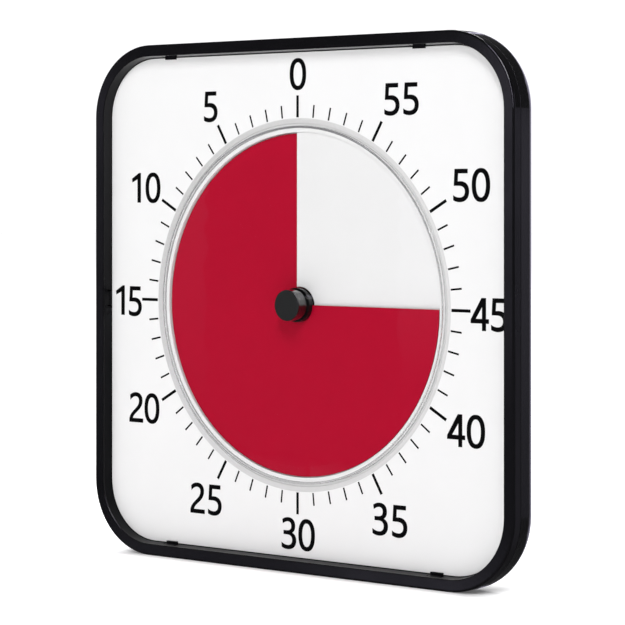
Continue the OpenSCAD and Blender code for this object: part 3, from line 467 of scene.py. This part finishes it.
def printed(name, outlines, place, material, body, grow=0.0):
    """Flat print of closed outlines, in millimetres in the plane that place puts them on."""
    curve = bpy.data.curves.new(name, "CURVE")
    curve.dimensions = "2D"
    curve.fill_mode = "BOTH"
    curve.extrude = INK * MM
    curve.offset = grow * MM
    for points in outlines:
        spline = curve.splines.new("POLY")
        spline.points.add(len(points) - 1)
        for p, (x, y) in zip(spline.points, points):
            p.co = (x * MM, y * MM, 0, 1)
        spline.use_cyclic_u = True
    source = bpy.data.objects.new(name + "_curve", curve)
    bpy.context.scene.collection.objects.link(source)
    bpy.context.view_layer.update()
    mesh = bpy.data.meshes.new_from_object(source.evaluated_get(bpy.context.evaluated_depsgraph_get()))
    bpy.data.objects.remove(source)
    mesh.name = name
    mesh.transform(place)
    mesh.materials.clear()
    mesh.materials.append(material)
    piece = bpy.data.objects.new(name, mesh)
    bpy.context.scene.collection.objects.link(piece)
    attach(piece, body)
    return piece


FACING_FRONT = Matrix.Rotation(math.pi / 2, 4, "X")
FACING_BACK = Matrix.Rotation(math.pi, 4, "Z") @ FACING_FRONT
on_dial = Matrix.Translation((0, -INK * MM, DIAL_Z * MM)) @ FACING_FRONT
printed("dial_ticks", [tick(m) for m in range(60)], on_dial, print_black, "case")
printed(
    "dial_numerals",
    [[(x + px, z + py) for px, py in loop] for digit, x, z in NUMERALS for loop in DIGITS[digit]],
    on_dial, print_black, "case", grow=NUMERAL_GROWTH,
)

# Marks beside the sound switch, a filled dot for on and a ring for off: name, shift in millimetres, outlines
dot, hole = oval(0, 0, 1.5, 1.5, 2), oval(0, 0, 0.9, 0.9, 2)
back_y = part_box("bay_housing")[1].y
switch = [(a + b) / 2 for a, b in zip(*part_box("switch_slider"))]
for name, shift, loops in (
    ("switch_mark_on", 14.5, [dot]),
    ("switch_mark_off", -16.5, [dot, hole]),
):
    place = Matrix.Translation((switch[0] + shift * MM, back_y + INK / 2 * MM, switch[2])) @ FACING_BACK
    printed(name, loops, place, print_grey, "case")


# ---- floor and backdrop ------------------------------------------------------------------------

def stage_mesh(name, verts, faces, material):
    mesh = bpy.data.meshes.new(name)
    mesh.from_pydata(verts, [], faces)
    mesh.materials.append(material)
    obj = bpy.data.objects.new(name, mesh)
    bpy.context.scene.collection.objects.link(obj)
    return obj


def glowing(name):
    """A material that only gives off light: the material, its node tree and its emission node."""
    mat = bpy.data.materials.new(name)
    mat.use_nodes = True
    tree = mat.node_tree
    tree.nodes.clear()
    lit, out = tree.nodes.new("ShaderNodeEmission"), tree.nodes.new("ShaderNodeOutputMaterial")
    tree.links.new(lit.outputs[0], out.inputs["Surface"])
    return mat, tree, lit


# White floor that gives off light of its own, less of it close to the case's lower front
FLOOR_HALF = 14
FOOTPRINT_MIDDLE, FOOTPRINT_HALF = (0, 0.004, 0), (0.122, 0.01, 0)
CONTACT_GLOW, FLOOR_GLOW, CONTACT_REACH = 0.1, 0.87, 0.02

floor_look = Recipe("floor_white")
floor_look.colour((0.9, 0.9, 0.9), 0.01, 1.5)
floor_look.rough(0.8, 0.05, 3).set(Emission_Color=(1, 1, 1, 1))
beside = floor_look.vector("ABSOLUTE", floor_look.vector("SUBTRACT", floor_look.coord, FOOTPRINT_MIDDLE))
outside = floor_look.vector("MAXIMUM", floor_look.vector("SUBTRACT", beside, FOOTPRINT_HALF), (0, 0, 0))
reach = floor_look.vector("LENGTH", outside)
floor_look.feed("Emission Strength", floor_look.ranged(reach, CONTACT_GLOW, FLOOR_GLOW, (0, CONTACT_REACH)))
floor = stage_mesh(
    "floor", [(x * FLOOR_HALF, y * FLOOR_HALF, 0) for x, y in ((-1, -1), (1, -1), (1, 1), (-1, 1))],
    [(0, 1, 2, 3)], floor_look.mat,
)
floor.visible_glossy = floor.visible_transmission = False

# Dome that the camera sees as the background, and a dimmer one inside it that only lights the object
RINGS, SPOKES, DOME_RADIUS, DOME_DROP = 12, 32, 12, 0.5
BACKDROP_GLOW, SKY_GLOW, SKY_SCALE = 1.1, 0.2, 0.97

verts = [
    (DOME_RADIUS * math.cos(2 * math.pi * j / SPOKES) * math.cos(math.pi / 2 * i / RINGS),
     DOME_RADIUS * math.sin(2 * math.pi * j / SPOKES) * math.cos(math.pi / 2 * i / RINGS),
     DOME_RADIUS * math.sin(math.pi / 2 * i / RINGS) - DOME_DROP)
    for i in range(RINGS + 1) for j in range(SPOKES)
]
faces = [
    (i * SPOKES + j, i * SPOKES + (j + 1) % SPOKES, (i + 1) * SPOKES + (j + 1) % SPOKES, (i + 1) * SPOKES + j)
    for i in range(RINGS) for j in range(SPOKES)
]
backdrop_glow, _, lit = glowing("backdrop_glow")
lit.inputs["Strength"].default_value = BACKDROP_GLOW
dome = stage_mesh("backdrop", verts, faces, backdrop_glow)
dome.visible_glossy = dome.visible_transmission = dome.visible_diffuse = False

sky_look = Recipe("fill").set(
    Base_Color=(0, 0, 0, 1), Emission_Color=(1, 1, 1, 1), Emission_Strength=SKY_GLOW,
)
sky = stage_mesh("sky_fill", [tuple(SKY_SCALE * v for v in vert) for vert in verts], faces, sky_look.mat)
sky.visible_camera = sky.visible_glossy = sky.visible_transmission = sky.visible_shadow = False


# ---- lights ------------------------------------------------------------------------------------

AIM = (0, 0, 0.15)     # about the middle of the case


def softbox(name, at, size, power):
    """Rectangular light that points at the case, its size in metres and its power in watts."""
    light = bpy.data.lights.new(name, "AREA")
    light.shape = "RECTANGLE"
    light.size, light.size_y = size
    light.energy = power
    obj = bpy.data.objects.new(name, light)
    obj.location = at
    obj.rotation_euler = (Vector(AIM) - Vector(at)).to_track_quat("-Z", "Y").to_euler()
    bpy.context.scene.collection.objects.link(obj)
    return obj


CARD_TINT = (1, 0.95, 1.2)
CARD_FADE = 0.08       # height over which a card's glow ends at its top


def card(name, at, facing, width, bottom, top, low, high, ramp_ends=None):
    """Upright card that only reflections see, its glow running from low to high between ramp_ends."""
    mat, tree, lit = glowing(name)
    coord, split = tree.nodes.new("ShaderNodeTexCoord"), tree.nodes.new("ShaderNodeSeparateXYZ")
    product = tree.nodes.new("ShaderNodeMath")
    product.operation = "MULTIPLY"
    ramp = (*(ramp_ends or (bottom, top)), low, high)
    fade = (top - CARD_FADE, top, 1, 0)
    for factor, ends in zip(product.inputs, (ramp, fade)):
        node = tree.nodes.new("ShaderNodeMapRange")
        for key, v in zip(("From Min", "From Max", "To Min", "To Max"), ends):
            node.inputs[key].default_value = v
        tree.links.new(split.outputs["Z"], node.inputs["Value"])
        tree.links.new(node.outputs["Result"], factor)
    tree.links.new(coord.outputs["Object"], split.inputs[0])
    tree.links.new(product.outputs[0], lit.inputs["Strength"])
    lit.inputs["Color"].default_value = (*CARD_TINT, 1)
    across = Vector((-facing[1], facing[0], 0)).normalized() * width / 2
    a, b = Vector((*at, 0)) - across, Vector((*at, 0)) + across
    corners = [(a.x, a.y, bottom), (b.x, b.y, bottom), (b.x, b.y, top), (a.x, a.y, top)]
    obj = stage_mesh(name, corners, [(0, 1, 2, 3)], mat)
    obj.visible_camera = obj.visible_diffuse = obj.visible_transmission = obj.visible_shadow = False
    return obj


softbox("key", (2.3, -3.85, 3.6), (0.9, 2.4), 172)
softbox("back", (-1.3, 2.6, 3.6), (1.8, 1.2), 70)
front = softbox("front", (-1.2, -4, 0.9), (2.4, 2), 33)
front.visible_glossy = front.visible_transmission = False

# Name, place, facing, width, bottom, top, glow at the bottom and at the top, and the heights
# that the glow runs between where they aren't the card's own ends
BACKWARDS, FORWARDS = (0, 1), (0, -1)
for values in (
    ("card_front_right", (-1.8, -3), BACKWARDS, 0.22, -0.6, 0.62, 0.1, 1.05, (-0.25, 0.4)),
    ("card_front_left", (-3.04, -3), BACKWARDS, 0.3, -0.6, 0.55, 0, 0.45),
    ("card_low_right", (-1.98, -3), BACKWARDS, 0.75, -0.8, -0.52, 0.85, 0.85),
    ("card_low_left", (-2.8, -3), BACKWARDS, 0.85, -0.8, -0.52, 0.4, 0.4),
    ("card_back", (-0.4, 3.5), FORWARDS, 3.4, -1.3, 1.6, 0.9, 1.5),
    ("card_back_left", (-3.4, 2.4), (1, -0.7), 2.2, -1.3, 1.6, 0.9, 1.5),
    ("card_back_right", (3.7, 2.1), (-1, -0.55), 1.5, -1.3, 1.6, 0.9, 1.8),
    ("card_tall", (0.5, -1.5), BACKWARDS, 0.3, 0.35, 4, 12, 22),
    ("card_side", (2.1, 3), FORWARDS, 0.9, -0.6, 0.45, 0.12, 0.5),
):
    card(*values)

world = bpy.data.worlds.new("studio")
bpy.context.scene.world = world
world.use_nodes = True
world.node_tree.nodes["Background"].inputs["Color"].default_value = (0.07, 0.07, 0.072, 1)
world.node_tree.nodes["Background"].inputs["Strength"].default_value = 1.0


# ---- camera ------------------------------------------------------------------------------------

# Fitted to the photo: level, turned about the vertical, and shifted down
CAMERA_PLACE = (0.8643, -1.0821, 0.2161)
CAMERA_TURN = 0.6678
CAMERA_LENS, CAMERA_SHIFT = 139.5, -0.1905

camera = bpy.data.objects.new("camera", bpy.data.cameras.new("camera"))
bpy.context.scene.collection.objects.link(camera)
camera.data.sensor_width = 36
camera.data.lens = CAMERA_LENS
camera.data.shift_y = CAMERA_SHIFT
camera.data.clip_end = 100
camera.location = CAMERA_PLACE
camera.rotation_euler = (math.pi / 2, 0, CAMERA_TURN)
bpy.context.scene.camera = camera
bpy.context.scene.view_settings.view_transform = "Standard"
